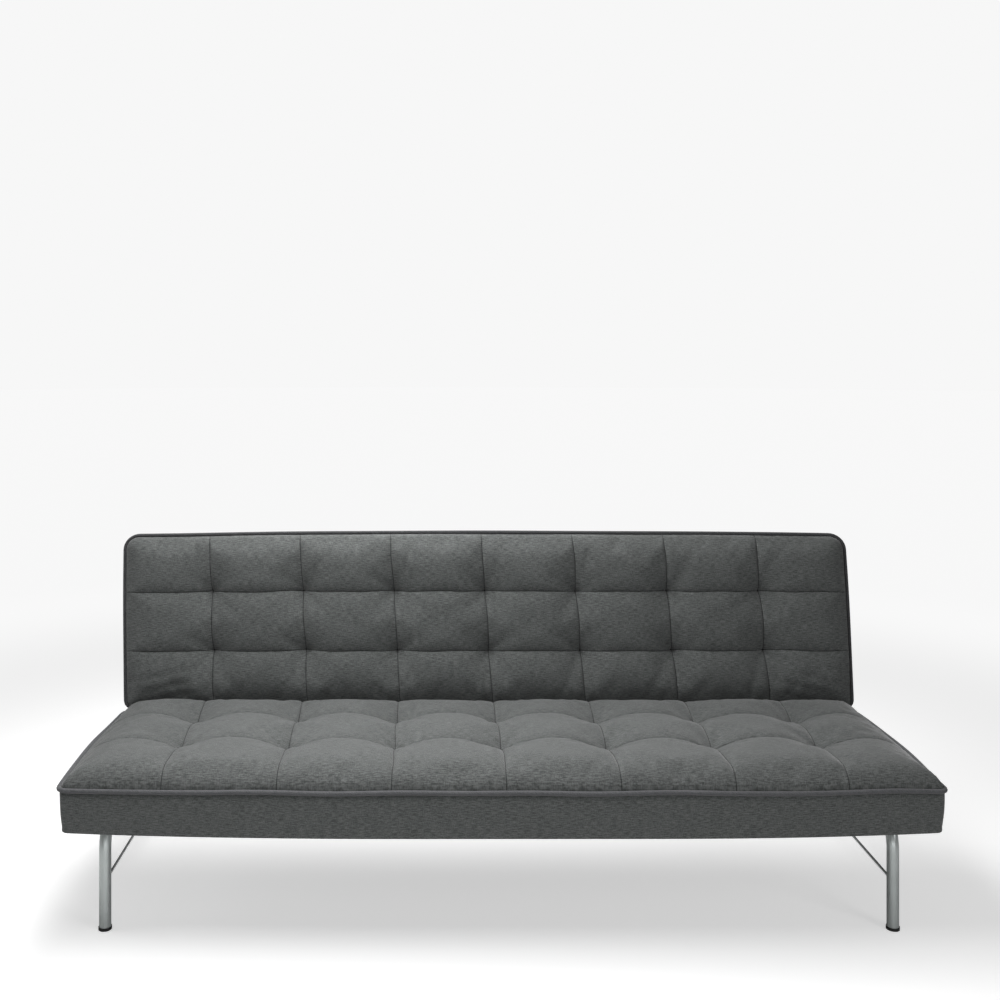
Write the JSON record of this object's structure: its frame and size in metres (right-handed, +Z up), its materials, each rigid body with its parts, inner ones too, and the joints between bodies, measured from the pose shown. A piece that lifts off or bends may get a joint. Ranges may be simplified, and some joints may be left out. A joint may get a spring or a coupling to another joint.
{
  "type": "futon sofa bed",
  "caption": "Armless sofa bed with tufted seat and folding tufted back on bent tube leg frames, joined by ratchet hinges.",
  "frame": {"origin": "on the floor under the middle of the bounding box, with the back upright", "axes": "+Z up, the sitter faces -Y, +X along the sofa's length"},
  "size_m": [1.8, 0.774, 0.7585],
  "materials": {
    "leg_tube": "satin silver-grey paint",
    "foot_plastic": "matte black",
    "stretcher_rod": "bright drawn rod",
    "rest_rubber": "matte black",
    "zinc_steel": "zinc plated",
    "spring_steel": "blued",
    "hinge_steel": "satin black",
    "foam": "open-cell foam",
    "piping_cloth": "plain weave",
    "grey_weave": "fine grey melange weave",
    "dark_lining": "non-woven",
    "softwood": "planed"
  },
  "bodies": {
    "base": {"foot_cap_front_left": "foot_plastic", "foot_cap_front_right": "foot_plastic", "foot_cap_rear_left": "foot_plastic", "foot_cap_rear_right": "foot_plastic", "frame_bolts_left": "zinc_steel", "frame_bolts_right": "zinc_steel", "hinge_pawl_pin_left": "zinc_steel", "hinge_pawl_pin_right": "zinc_steel", "hinge_pawl_spring_left": "spring_steel", "hinge_pawl_spring_right": "spring_steel", "hinge_pin_left": "zinc_steel", "hinge_pin_right": "zinc_steel", "hinge_seat_bolts_left": "zinc_steel", "hinge_seat_bolts_right": "zinc_steel", "hinge_seat_plate_left": "hinge_steel", "hinge_seat_plate_right": "hinge_steel", "leg_frame_left": "leg_tube", "leg_frame_right": "leg_tube", "rest_pad_left": "rest_rubber", "rest_pad_right": "rest_rubber", "seat_band": "grey_weave", "seat_cross_rails": "softwood", "seat_dust_cover": "dark_lining", "seat_end_rail_left": "softwood", "seat_end_rail_right": "softwood", "seat_foam": "foam", "seat_front_rail": "softwood", "seat_piping": "piping_cloth", "seat_rear_rail": "softwood", "seat_slats": "softwood", "seat_top_cover": "grey_weave", "stretcher_rod_left": "stretcher_rod", "stretcher_rod_right": "stretcher_rod"},
    "back": {"back_band": "grey_weave", "back_bottom_rail": "softwood", "back_cross_rails": "softwood", "back_end_rail_left": "softwood", "back_end_rail_right": "softwood", "back_foam": "foam", "back_front_cover": "grey_weave", "back_piping": "piping_cloth", "back_rear_cover": "dark_lining", "back_slats": "softwood", "back_top_rail": "softwood", "hinge_back_arm_left": "hinge_steel", "hinge_back_arm_right": "hinge_steel", "hinge_back_bolts_left": "zinc_steel", "hinge_back_bolts_right": "zinc_steel"},
    "pawl_left": {"hinge_pawl_left": "hinge_steel"},
    "pawl_right": {"hinge_pawl_right": "hinge_steel"}
  },
  "joints": [
    {"name": "back_recline", "type": "hinge", "parent": "base", "child": "back", "pos_m": [0, 0.149, 0.324], "axis": [-1, 0, 0], "range_deg": [-8, 81]},
    {"name": "pawl_left_lift", "type": "hinge", "parent": "base", "child": "pawl_left", "pos_m": [-0.888, 0.153, 0.27], "axis": [1, 0, 0], "range_deg": [0, 12], "stiffness_Nm_per_rad": 0.05, "springref_deg": -17.19},
    {"name": "pawl_right_lift", "type": "hinge", "parent": "base", "child": "pawl_right", "pos_m": [0.888, 0.153, 0.27], "axis": [1, 0, 0], "range_deg": [0, 12], "stiffness_Nm_per_rad": 0.05, "springref_deg": -17.19}
  ]
}
